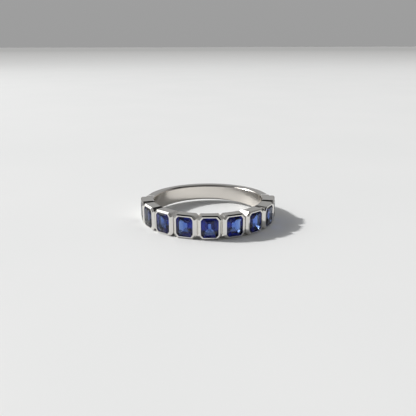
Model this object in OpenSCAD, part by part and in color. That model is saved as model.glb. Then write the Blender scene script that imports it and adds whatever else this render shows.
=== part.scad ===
// Half-eternity ring: a plain shank that carries nine octagonal bezels, each with a step-cut stone.
// The ring lies on its side. The finger hole's axis is Z, the row of stones faces -Y at its middle,
// and the origin is the centre of the finger hole at half the ring's height. Millimetres.

/* [Finger hole] */
// radius of the finger hole
finger_radius = 8.5; // [7.5:0.1:8.7]
// how far the hole's top and bottom edges are rounded over for comfort
edge_ease = 0.32; // [0.1:0.02:0.5]

/* [Shank] */
// outer radius of the shank
shank_radius = 9.82; // [9.4:0.02:10]
// height of the shank just behind the last bezels
shoulder_height = 2.98; // [2.6:0.02:3.4]
// height of the shank at the back
back_height = 2.54; // [1.5:0.02:2.9]
// where the short flare under the last bezels starts, along Y
flare_start = 0.5; // [0:0.1:1]
// where that flare ends in the plain taper, along Y
flare_end = 2.5; // [1.5:0.1:4]
// rounding of the shank's outer edges
outer_ease = 0.12; // [0.04:0.02:0.3]

/* [Row of bezels] */
// number of bezels
bezels = 9; // [3:2:9]
// angle from one bezel to the next, degrees
pitch = 20; // [19:0.25:20.5]
// distance from the row's own centre to the front of a rim
row_radius = 10.56; // [10.4:0.02:10.8]
// how far the row's centre lies behind the centre of the finger hole
row_shift = 0.45; // [0:0.05:0.6]
// height of a bezel, which is the height of the ring
bezel_height = 3.56; // [3.4:0.02:3.7]
// half of the flat at the top of a bezel, at its front, before the corner is cut off
flat_front = 1.30; // [1.24:0.01:1.4]
// half of the same flat at the back of a bezel
flat_back = 1.15; // [1:0.01:1.2]
// slope of the cut corners, degrees from level
corner_slope = 50; // [45:1:54]
// width of the flat rim beside a stone
rim_side = 0.22; // [0.18:0.01:0.26]
// width of the flat rim at the corners of a stone
rim_at_corner = 0.21; // [0.18:0.01:0.28]
// width of the flat rim above and below a stone
rim_top = 0.14; // [0.1:0.01:0.2]
// how far back from the rim the bevelled corners meet the notches between the bezels
corner_run = 0.24; // [0.18:0.01:0.34]
// how far the bevel runs back at a bezel's sides
side_run = 0.37; // [0.35:0.01:0.5]
// width of the fine line between two bezels
seam_width = 0.06; // [0.02:0.01:0.15]
// depth of that line behind the valley
seam_depth = 0.4; // [0.1:0.05:0.6]

/* [Stones] */
// width of the stone that shows inside the rim
stone_width = 2.51; // [2.46:0.01:2.58]
// height of the stone that shows inside the rim
stone_height = 2.95; // [2.82:0.01:3]
// cut corner of the stone that shows, along its width
stone_corner = 0.34; // [0.3:0.02:0.5]
// how much wider the girdle is on each side than the opening that holds it
girdle_hold = 0.04; // [0.02:0.01:0.08]
// thickness of the girdle
girdle_thick = 0.05; // [0.02:0.01:0.1]
// how far a table stands in front of the rim
table_proud = 0.10; // [0:0.01:0.15]
// widths of the three crown steps, from the girdle to the table
crown_widths = [0.14, 0.15, 0.26]; // [0.08:0.01:0.3]
// slopes of those three steps, degrees
crown_slopes = [45, 32, 16]; // [15:1:45]
// share of half the stone's width that each pavilion step takes
steps_across = [0.25, 0.28, 0.32]; // [0.1:0.01:0.32]
// share of half the stone's height that each pavilion step takes
steps_up = [0.25, 0.19, 0.31]; // [0.1:0.01:0.32]
// depth of the pavilion, from the girdle to the flat at its point
pavilion_deep = 1.09; // [0.9:0.01:1.2]
// how its three steps share that depth
steps_deep = [0.50, 0.29, 0.30]; // [0.25:0.01:0.5]

/* [Seats] */
// gap between a stone and its seat
seat_gap = 0.02; // [0.01:0.005:0.05]
// depth of the ledge that a stone's pavilion rests on
ledge_deep = 0.22; // [0.1:0.01:0.3]
// width of the opening behind a stone, through to the finger hole
window_width = 1.56; // [1:0.02:1.8]
// height of that opening
window_height = 1.90; // [1:0.02:2]

/* [Hidden] */
$fn = 180;
// a length past the whole ring, and how far a cutter runs past what it cuts
far = 30;
over = 0.1;
half_h = bezel_height / 2;
half_count = (bezels - 1) / 2;
slope = tan(corner_slope);
// a corner is the line nx * across + nz * up = a distance from the bezel's centre
nx = sin(corner_slope);
nz = cos(corner_slope);
win_x = stone_width / 2;
win_z = stone_height / 2;
rim_x = win_x + rim_side;
rim_z = win_z + rim_top;
rim_corner = nx * (win_x - stone_corner) + nz * win_z + rim_at_corner;
front_corner = nx * flat_front + nz * half_h;
back_corner = nx * flat_back + nz * half_h;
// the solid bezels start here, seen from the row's centre, and the finger hole cuts their backs off
back_margin = 0.4;
body_back = finger_radius - back_margin;
white_metal = [0.80, 0.79, 0.77];
blue_stone = [0.10, 0.15, 0.42];

// Height of the ring along Y: full at the bezels, a short flare, then a straight taper.
taper = (shoulder_height - back_height) / 2 / (shank_radius - flare_end);
flare_drop = half_h - shoulder_height / 2;
flare_run = flare_end - flare_start;
flare_radius = (pow(flare_run, 2) + pow(flare_drop, 2)) / 2 / flare_drop;
function top_at(y) = y < flare_start ? half_h
    : y < flare_end ? shoulder_height / 2 + flare_radius - sqrt(pow(flare_radius, 2) - pow(flare_end - y, 2))
    : shoulder_height / 2 - (y - flare_end) * taper;

// Side outline of the shank, with Y to the right and Z up.
module side_outline() {
    difference() {
        translate([-far, -half_h]) square([2 * far, bezel_height]);
        for (side = [1, -1]) scale([1, side]) {
            translate([flare_end, shoulder_height / 2 + flare_radius]) circle(r = flare_radius);
            polygon([[flare_end, shoulder_height / 2], [flare_end + far, shoulder_height / 2 - far * taper],
                [flare_end + far, far], [flare_end, far]]);
        }
    }
}

// Section of a cutter that rounds an edge over, at the angle a from -Y and at the ring's height
// there. facing is 1 for the hole's edge and -1 for the outer edge, side is 1 for the top and -1
// for the bottom.
ease_steps = 4;
ease_rings = 96;
function ease_section(a, r, ease, facing, side) =
    let (z = top_at(-r * cos(a)), turn = 90 / ease_steps, lean = sin(turn) / (1 - cos(turn)),
        outline = concat([[-over, z - ease - over * lean]],
            [for (i = [1:ease_steps - 1]) [ease * (1 - cos(i * turn)), z - ease + ease * sin(i * turn)]],
            [[ease + over * lean, z + over], [-over, z + over]]))
    [for (p = outline) [(r + facing * p[0]) * sin(a), -(r + facing * p[0]) * cos(a), side * p[1]]];

// The cutter itself, swept round the finger hole as the ring's height changes.
module ease_cutter(r, ease, facing, side) {
    m = ease_steps + 2;
    points = [for (i = [0:ease_rings - 1]) each ease_section(i * 360 / ease_rings, r, ease, facing, side)];
    quads = [for (i = [0:ease_rings - 1], j = [0:m - 1])
        let (a = i * m, b = ((i + 1) % ease_rings) * m, k = (j + 1) % m) [a + j, a + k, b + k, b + j]];
    tris = [for (q = quads) each [[q[0], q[1], q[2]], [q[0], q[2], q[3]]]];
    polyhedron(points, facing * side > 0 ? tris : [for (t = tris) [t[2], t[1], t[0]]]);
}

// Bezels and stones are lofted through octagons that share their directions, so every face is flat.
// A section is [distance from the row's centre, half width, half height, corner cut along the width].
thinnest = 0.004;
function octagon(s) = let (x = s[1], z = s[2], c = max(s[3], thinnest), e = c * slope)
    [[x - c, -z], [x, -z + e], [x, z - e], [x - c, z], [-x + c, z], [-x, z - e], [-x, -z + e], [-x + c, -z]];

module loft(sections) {
    n = len(sections);
    points = [for (s = sections) each [for (p = octagon(s)) [p[0], -s[0], p[1]]]];
    sides = [for (i = [0:n - 2], j = [0:7])
        let (k = (j + 1) % 8) [i * 8 + j, i * 8 + k, (i + 1) * 8 + k, (i + 1) * 8 + j]];
    polyhedron(points, concat(sides, [[for (j = [7:-1:0]) j], [for (j = [0:7]) (n - 1) * 8 + j]]));
}

// Puts a shape made at the middle of the row in the place of bezel k, counted from the middle.
module in_place(k) {
    translate([0, row_shift, 0]) rotate([0, 0, k * pitch]) children();
}

// One bezel, solid: a flat rim, a bevel all round at 45 degrees, broader facets at the corners, and
// a body that narrows to the hole. A section here ends in the distance of its corner's line.
wall = tan(pitch / 2);
module bezel_block() {
    bevel = half_h - rim_z;
    back_x = rim_x + side_run - (row_radius - side_run - body_back) * wall;
    loft([for (s = [
        [row_radius, rim_x, rim_z, rim_corner],
        [row_radius - bevel, rim_x + bevel, half_h, rim_corner + bevel],
        [row_radius - corner_run, rim_x + corner_run, half_h, front_corner],
        [row_radius - side_run, rim_x + side_run, half_h, front_corner],
        [body_back, back_x, half_h, back_corner]])
        [s[0], s[1], s[2], (nx * s[1] + nz * s[2] - s[3]) / nx]]);
}

// The fine line between two bezels, behind the valley where their bevels meet.
valley = (row_radius - (row_radius * wall - rim_x) / (1 + wall)) / cos(pitch / 2);
module seam_cutter() {
    translate([-seam_width / 2, -row_radius - over, -half_h - over])
        cube([seam_width, row_radius + over - valley + seam_depth, bezel_height + 2 * over]);
}

// Stone: a table, three crown steps, a girdle, three pavilion steps and a small flat at the point.
girdle_x = win_x + girdle_hold;
girdle_z = win_z + girdle_hold;
crown_rise = [for (i = [0:2]) crown_widths[i] * tan(crown_slopes[i])];
function total(list, n) = n == 0 ? 0 : list[n - 1] + total(list, n - 1);
girdle_top = row_radius + table_proud - total(crown_rise, 3);
girdle_foot = girdle_top - girdle_thick;
function step_depth(n) = pavilion_deep * total(steps_deep, n) / total(steps_deep, 3);
function corner_at(inset) = stone_corner * (1 - inset / girdle_x);

module stone_shape() {
    loft([
        for (n = [3:-1:0]) let (t = total(crown_widths, n))
            [girdle_top + total(crown_rise, n), girdle_x - t, girdle_z - t, corner_at(t)],
        for (n = [0:3]) let (t = total(steps_across, n) * girdle_x)
            [girdle_foot - step_depth(n), girdle_x - t, girdle_z * (1 - total(steps_up, n)), corner_at(t)]
    ]);
}

// Seat: a lip over the girdle, a groove for it, a ledge under it, and an opening behind the stone.
// The groove leaves half as much again as the seat's gap, because the stone's corners come closer.
module seat_shape() {
    hold = girdle_hold + 1.5 * seat_gap;
    window_corner = 0.4;
    share = ledge_deep / step_depth(1);
    ledge_x = share * steps_across[0] * girdle_x;
    ledge_z = share * steps_up[0] * girdle_z;
    window = [window_width / 2, window_height / 2, corner_at(window_corner * girdle_x)];
    loft([
        [row_radius + over, win_x, win_z, stone_corner],
        [girdle_top + seat_gap + hold, win_x, win_z, stone_corner],
        [girdle_top + seat_gap, win_x + hold, win_z + hold, stone_corner],
        [girdle_foot, win_x + hold, win_z + hold, stone_corner],
        [girdle_foot - ledge_deep, win_x + hold - ledge_x, win_z + hold - ledge_z, corner_at(ledge_x)],
        concat([finger_radius + back_margin], window),
        concat([body_back - back_margin], window)
    ]);
}

// The shank behind the last bezels.
module shank() {
    half_row = half_count * pitch;
    side_x = far * sin(half_row);
    side_y = row_shift - far * cos(half_row);
    difference() {
        intersection() {
            cylinder(r = shank_radius, h = bezel_height, center = true);
            rotate([90, 0, 90]) linear_extrude(height = 2 * far, center = true) side_outline();
        }
        translate([0, 0, -half_h - over]) linear_extrude(height = bezel_height + 2 * over)
            polygon([[0, row_shift], [-side_x, side_y], [-far, -far - over], [far, -far - over], [side_x, side_y]]);
        ease_cutter(shank_radius, outer_ease, -1, 1);
        ease_cutter(shank_radius, outer_ease, -1, -1);
    }
}

module shank_and_bezels() {
    color(white_metal) difference() {
        union() {
            shank();
            for (k = [-half_count:half_count]) in_place(k) bezel_block();
        }
        cylinder(r = finger_radius, h = 2 * bezel_height, center = true);
        ease_cutter(finger_radius, edge_ease, 1, 1);
        ease_cutter(finger_radius, edge_ease, 1, -1);
        for (k = [-half_count:half_count]) in_place(k) seat_shape();
        for (k = [-half_count:half_count - 1]) in_place(k + 0.5) seam_cutter();
    }
}

// number counts the stones from the left
module sapphire(number) {
    color(blue_stone) in_place(number - 1 - half_count) stone_shape();
}

shank_and_bezels();
sapphire(1);  // sapphire_1
sapphire(2);  // sapphire_2
sapphire(3);  // sapphire_3
sapphire(4);  // sapphire_4
sapphire(5);  // sapphire_5
sapphire(6);  // sapphire_6
sapphire(7);  // sapphire_7
sapphire(8);  // sapphire_8
sapphire(9);  // sapphire_9
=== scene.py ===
import math

import bpy
from mathutils import Matrix, Vector

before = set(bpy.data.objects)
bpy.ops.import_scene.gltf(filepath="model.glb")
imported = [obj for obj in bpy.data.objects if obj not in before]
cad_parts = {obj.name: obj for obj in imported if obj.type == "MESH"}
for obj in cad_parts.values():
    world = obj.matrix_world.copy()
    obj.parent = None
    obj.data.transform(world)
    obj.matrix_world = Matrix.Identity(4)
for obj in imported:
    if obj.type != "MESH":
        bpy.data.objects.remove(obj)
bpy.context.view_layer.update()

MM = 0.001
HEIGHT = 3.56 * MM  # the ring lies on its side, so this is also the height of its bezels
FLOOR_Z = -HEIGHT / 2
FINGER_RADIUS = 8.5 * MM
ROW_SHIFT = 0.45 * MM  # the bezels stand on a circle whose centre lies this far behind the finger hole's
PITCH = math.radians(20)  # from one bezel to the next

# Finish of the white gold
POLISHED, HAZY = 0.05, 0.09  # roughness of the mirror finish, without and with handling haze
HAZE_SCALE = 700.0  # patches about 1.5 mm wide
SATIN_ROUGHNESS = 0.12  # what the lapping adds to the roughness
SATIN_ON_TOPS = 0.6  # how much of the inside's lapping the flat tops have
LINE_SPACING = 0.1 * MM  # real lapping lines are finer; these are as coarse as they need to be to show
LINE_BREAKS = 4.0  # how often the lines change in each radian round the ring
LINE_DEPTH = 0.01 * MM
LINE_SPREAD = 0.3  # how far the lines stretch a reflection
SEAT_ROUGHNESS = 0.4  # what the bur's marks add to the roughness

# Light
SUN_AZIMUTH, SUN_HEIGHT = 166, 36  # degrees, from the shadow outside the ring
DARK = "#0A0A0B"


def linear(hex_colour):
    """Linear colour of an sRGB hex colour"""
    parts = [int(hex_colour[i : i + 2], 16) / 255 for i in (1, 3, 5)]
    return tuple(c / 12.92 if c <= 0.04045 else ((c + 0.055) / 1.055) ** 2.4 for c in parts) + (1.0,)


def node(tree, kind, inputs=(), **settings):
    """Adds a node, sets its properties, and gives each input a value or a link; returns the node"""
    n = tree.nodes.new(kind)
    for key, value in settings.items():
        setattr(n, key, value)
    for key, value in dict(inputs).items():
        if isinstance(value, bpy.types.NodeSocket):
            tree.links.new(value, n.inputs[key])
        else:
            n.inputs[key].default_value = value
    return n


def new_material(name):
    """An empty material, and its node tree"""
    m = bpy.data.materials.new(name)
    m.use_nodes = True
    m.node_tree.nodes.clear()
    return m, m.node_tree


# Materials
def polished_white_gold():
    """White gold, rhodium plated: the bezels are buffed to a mirror with a faint haze from handling,
    and the flat tops and the inside of the ring are lapped, which leaves fine lines and a softer shine"""
    m, t = new_material("polished_white_gold")
    place = node(t, "ShaderNodeTexCoord").outputs["Object"]
    x, y, z = node(t, "ShaderNodeSeparateXYZ", {0: place}).outputs
    flat = node(t, "ShaderNodeCombineXYZ", {0: x, 1: y}).outputs[0]
    radius = node(t, "ShaderNodeVectorMath", {0: flat}, operation="LENGTH").outputs["Value"]
    angle = node(t, "ShaderNodeMath", {0: x, 1: y}, operation="ARCTAN2").outputs[0]
    height = node(t, "ShaderNodeMath", {0: z}, operation="ABSOLUTE").outputs[0]

    # where the lapping is: the wall of the finger hole, and the flat tops of the bezels
    inside = node(t, "ShaderNodeMapRange", {
        0: radius, 1: FINGER_RADIUS + 0.04 * MM, 2: FINGER_RADIUS + 0.20 * MM, 3: 1.0, 4: 0.0}).outputs[0]
    on_top = node(t, "ShaderNodeMapRange", {
        0: height, 1: HEIGHT / 2 - 0.02 * MM, 2: HEIGHT / 2 - 0.005 * MM, 3: 0.0, 4: SATIN_ON_TOPS}).outputs[0]
    satin = node(t, "ShaderNodeMath", {0: inside, 1: on_top}, operation="MAXIMUM").outputs[0]

    # where the seats are, behind the stones: the bur leaves them rough, and their colour is darkened as painted
    # shade in these hollows
    row_y = node(t, "ShaderNodeMath", {0: y, 1: ROW_SHIFT}, operation="SUBTRACT").outputs[0]
    row_flat = node(t, "ShaderNodeCombineXYZ", {0: x, 1: row_y}).outputs[0]
    row_radius = node(t, "ShaderNodeVectorMath", {0: row_flat}, operation="LENGTH").outputs["Value"]
    row_angle = node(t, "ShaderNodeMath", {0: x, 1: row_y}, operation="ARCTAN2").outputs[0]
    turn = node(t, "ShaderNodeMath", {0: row_angle, 1: PITCH / 2, 2: -PITCH / 2}, operation="WRAP").outputs[0]
    turn_size = node(t, "ShaderNodeMath", {0: turn}, operation="ABSOLUTE").outputs[0]
    limits = [node(t, "ShaderNodeMapRange", {0: value, 1: start, 2: end, 3: 0.0, 4: 1.0}).outputs[0]
              for value, start, end in (
                  (turn_size, math.radians(8.6), math.radians(8.3)),  # inside its own bezel
                  (height, 1.62 * MM, 1.58 * MM),  # below the flat tops
                  (row_radius, 10.46 * MM, 10.40 * MM),  # behind the rims
                  (radius, 8.65 * MM, 8.75 * MM),  # clear of the finger hole's wall
                  (row_y, -0.15 * MM, -0.25 * MM))]  # in front of the shank
    seats_rough_and_shaded = limits[0]
    for limit in limits[1:]:
        seats_rough_and_shaded = node(t, "ShaderNodeMath", {0: limit, 1: seats_rough_and_shaded}, operation="MULTIPLY").outputs[0]

    # lapping lines run round the ring
    lines_at = node(t, "ShaderNodeCombineXYZ", {
        0: node(t, "ShaderNodeMath", {0: radius, 1: 1 / LINE_SPACING}, operation="MULTIPLY").outputs[0],
        1: node(t, "ShaderNodeMath", {0: angle, 1: LINE_BREAKS}, operation="MULTIPLY").outputs[0],
        2: node(t, "ShaderNodeMath", {0: z, 1: 1 / LINE_SPACING}, operation="MULTIPLY").outputs[0]})
    lines = node(t, "ShaderNodeTexNoise", {
        "Vector": lines_at.outputs[0], "Scale": 1.0, "Detail": 2.0, "Roughness": 0.6})
    strength = node(t, "ShaderNodeMath", {0: satin, 1: 0.20, 2: 0.03}, operation="MULTIPLY_ADD")
    bump = node(t, "ShaderNodeBump", {
        "Height": lines.outputs[0], "Strength": strength.outputs[0], "Distance": LINE_DEPTH})

    haze = node(t, "ShaderNodeTexNoise", {
        "Vector": place, "Scale": HAZE_SCALE, "Detail": 4.0, "Roughness": 0.55})
    polish = node(t, "ShaderNodeMapRange", {0: haze.outputs[0], 1: 0.3, 2: 0.7, 3: POLISHED, 4: HAZY})
    smooth = node(t, "ShaderNodeMath", {
        0: satin, 1: SATIN_ROUGHNESS, 2: polish.outputs[0]}, operation="MULTIPLY_ADD")
    rough = node(t, "ShaderNodeMath", {
        0: seats_rough_and_shaded, 1: SEAT_ROUGHNESS, 2: smooth.outputs[0]}, operation="MULTIPLY_ADD")
    # the inside is painted a warmer grey: a painted warm reflection, standing in for warm light bounced round
    # inside the ring
    painted_warm_inside = node(t, "ShaderNodeMix", {
        0: inside, 6: linear("#E2E0DC"), 7: linear("#E2DDD6")}, data_type="RGBA")
    # the seats are painted dark grey: painted shade in the hollows behind the stones
    tone = node(t, "ShaderNodeMix", {
        0: seats_rough_and_shaded, 6: painted_warm_inside.outputs[2], 7: linear("#85827F")}, data_type="RGBA")
    # the lines spread light across them, so the shine is stretched up the wall and outwards on the tops
    outward = node(t, "ShaderNodeVectorMath", {0: flat}, operation="NORMALIZE").outputs[0]
    across_lines = node(t, "ShaderNodeVectorMath", {0: outward, 1: (0.0, 0.0, 1.0)}, operation="ADD")
    shader = node(t, "ShaderNodeBsdfPrincipled", {
        "Base Color": tone.outputs[2], "Metallic": 1.0, "Roughness": rough.outputs[0],
        "Normal": bump.outputs[0], "Anisotropic": LINE_SPREAD, "Tangent": across_lines.outputs[0]})
    node(t, "ShaderNodeOutputMaterial", {"Surface": shader.outputs[0]})
    return m


def blue_sapphire():
    """Blue corundum, cut and polished: its colour deepens with the way that light takes in it, and a grey
    specular tint mutes the reflections on its facets"""
    m, t = new_material("blue_sapphire")
    shader = node(t, "ShaderNodeBsdfPrincipled", {
        "Base Color": linear("#F8F9FF"), "Roughness": 0.01, "IOR": 1.77, "Specular Tint": linear("#BCBCBC"),
        "Transmission Weight": 1.0})
    body = node(t, "ShaderNodeVolumeAbsorption", {"Color": linear("#59A5E5"), "Density": 1850.0})
    node(t, "ShaderNodeOutputMaterial", {"Surface": shader.outputs[0], "Volume": body.outputs[0]})
    return m


def pale_table():
    """Honed pale stone table, cloudy on a scale of a few centimetres, which falls into shade far away"""
    m, t = new_material("pale_table")
    place = node(t, "ShaderNodeTexCoord").outputs["Object"]
    cloud = node(t, "ShaderNodeTexNoise", {"Vector": place, "Scale": 25.0, "Detail": 5.0, "Roughness": 0.5})
    tone = node(t, "ShaderNodeMix", {
        0: cloud.outputs[0], 6: linear("#E3E5E6"), 7: linear("#E9EAEB")}, data_type="RGBA")
    away = node(t, "ShaderNodeVectorMath", {0: place}, operation="LENGTH").outputs["Value"]
    shade = node(t, "ShaderNodeMapRange", {0: away, 1: 0.5, 2: 2.4, 3: 0.0, 4: 0.45})
    far_tone = node(t, "ShaderNodeMix", {
        0: shade.outputs[0], 6: tone.outputs[2], 7: linear("#8A8A8A")}, data_type="RGBA")
    shader = node(t, "ShaderNodeBsdfPrincipled", {
        "Base Color": far_tone.outputs[2], "Roughness": 0.6, "Specular IOR Level": 0.2})
    node(t, "ShaderNodeOutputMaterial", {"Surface": shader.outputs[0]})
    return m


gold, blue = polished_white_gold(), blue_sapphire()
for name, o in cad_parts.items():
    for slot in o.material_slots:
        slot.material = blue if name.startswith("sapphire") else gold

# Table
bpy.ops.object.select_all(action="DESELECT")
bpy.ops.mesh.primitive_plane_add(size=6.0, location=(0, 2.0, FLOOR_Z))
table = bpy.context.object
table.name = "table"
bpy.ops.object.transform_apply(location=True, rotation=True, scale=True)
table.data.materials.append(pale_table())


# Lights
def from_angles(azimuth, elevation, distance):
    """A place seen from the ring; azimuth 0 is +X and 90 is +Y, in degrees"""
    a, e = math.radians(azimuth), math.radians(elevation)
    level = distance * math.cos(e)
    return (level * math.cos(a), level * math.sin(a), distance * math.sin(e))


def aim(light):
    """Turns a light to the ring"""
    light.rotation_euler = (-light.location).to_track_quat("-Z", "Y").to_euler()


def panel(name, azimuth, elevation, distance, size, radiance):
    """A white soft box of even brightness"""
    bpy.ops.object.light_add(type="AREA", location=from_angles(azimuth, elevation, distance))
    o = bpy.context.object
    o.name = name
    o.data.shape = "RECTANGLE"
    o.data.size, o.data.size_y = size
    o.data.energy = radiance * math.pi * size[0] * size[1]
    aim(o)
    return o


bpy.ops.object.light_add(type="SUN", location=from_angles(SUN_AZIMUTH, SUN_HEIGHT, 0.5))
sun = bpy.context.object
sun.name = "sun"
sun.data.energy = 3.3
sun.data.angle = math.radians(4.5)
sun.data.color = linear("#FFFDFA")[:3]
aim(sun)
# a broad light round the sun gives the metal its highlights; seen through a stone, either would blow a facet out
window = panel("window", SUN_AZIMUTH - 5, SUN_HEIGHT, 0.6, (0.50, 0.30), 2.0)
sun.visible_transmission = False
window.visible_transmission = False
# the fill lightens the shadow, and shows neither in the metal nor through the stones
fill = panel("fill", 20, 55, 0.7, (0.8, 0.6), 0.6)
fill.visible_glossy = False
fill.visible_transmission = False

# Surroundings
world = bpy.data.worlds.new("studio")
bpy.context.scene.world = world
world.use_nodes = True
wt = world.node_tree
wt.nodes.clear()
way_x, way_y, way_z = node(wt, "ShaderNodeSeparateXYZ", {
    0: node(wt, "ShaderNodeTexCoord").outputs["Generated"]}).outputs


def sky(*stops):
    """Brightness by the height of the direction: each stop is the sine of that height, and a grey"""
    ramp = node(wt, "ShaderNodeValToRGB", {0: way_z})
    e = ramp.color_ramp.elements
    for end, (at, grey) in zip(e, (stops[0], stops[-1])):
        end.position, end.color = at, linear(grey)
    for at, grey in stops[1:-1]:
        e.new(at).color = linear(grey)
    return ramp.outputs[0]


def between(value, start, end):
    """0 at the start, 1 at the end"""
    return node(wt, "ShaderNodeMapRange", {0: value, 1: start, 2: end}).outputs[0]


def product(a, b):
    return node(wt, "ShaderNodeMath", {0: a, 1: b}, operation="MULTIPLY").outputs[0]


def mixed(share, first, second):
    return node(wt, "ShaderNodeMix", {0: share, 6: first, 7: second}, data_type="RGBA").outputs[2]


behind = sky((0.0, "#9D9D9D"), (0.10, "#9F9F9F"), (0.30, "#A9A9A9"), (0.62, "#9A9A9A"), (0.82, "#2A2A2B"),
             (0.92, DARK))
in_front = sky((0.0, "#4A4A4A"), (0.10, "#5E5E5E"), (0.30, "#7C7C7C"), (0.64, "#6C6C6C"), (0.86, DARK))
air = mixed(between(way_y, -0.9, -0.45), in_front, behind)
# a dark screen stands at the right, from a little above the table upwards
screen = product(product(between(way_x, 0.40, 0.65), between(way_z, 0.30, 0.40)), between(way_y, 0.20, 0.0))
room = mixed(screen, air, linear("#1C1C1E"))
# a grey ceiling over the back of the ring shows in the flat tops from above, and from the front in no bevel
ceiling = product(between(way_z, 0.84, 0.92), between(way_y, -0.10, 0.02))
back = node(wt, "ShaderNodeBackground", {"Color": mixed(ceiling, room, linear("#6E6E6E")), "Strength": 1.0})
node(wt, "ShaderNodeOutputWorld", {"Surface": back.outputs[0]})

# Camera, worked out from the photo: 79 mm in front of the ring, 17.6 degrees above it
YAW, TILT, ROLL = math.radians(1.435), math.radians(17.613), math.radians(-0.158)
ahead = Vector((math.sin(YAW) * math.cos(TILT), math.cos(YAW) * math.cos(TILT), -math.sin(TILT)))
right = Vector((math.cos(YAW), -math.sin(YAW), 0))
up = right.cross(ahead)
right, up = right * math.cos(ROLL) + up * math.sin(ROLL), up * math.cos(ROLL) - right * math.sin(ROLL)
bpy.ops.object.camera_add(location=(-1.960 * MM, -78.570 * MM, 24.742 * MM))
cam = bpy.context.object
cam.name = "camera"
cam.rotation_euler = Matrix((right, up, -ahead)).transposed().to_euler()
cam.data.sensor_width = 36.0
cam.data.lens = 44.67
cam.data.clip_start = 0.001
bpy.context.scene.camera = cam
bpy.context.scene.view_settings.view_transform = "Standard"
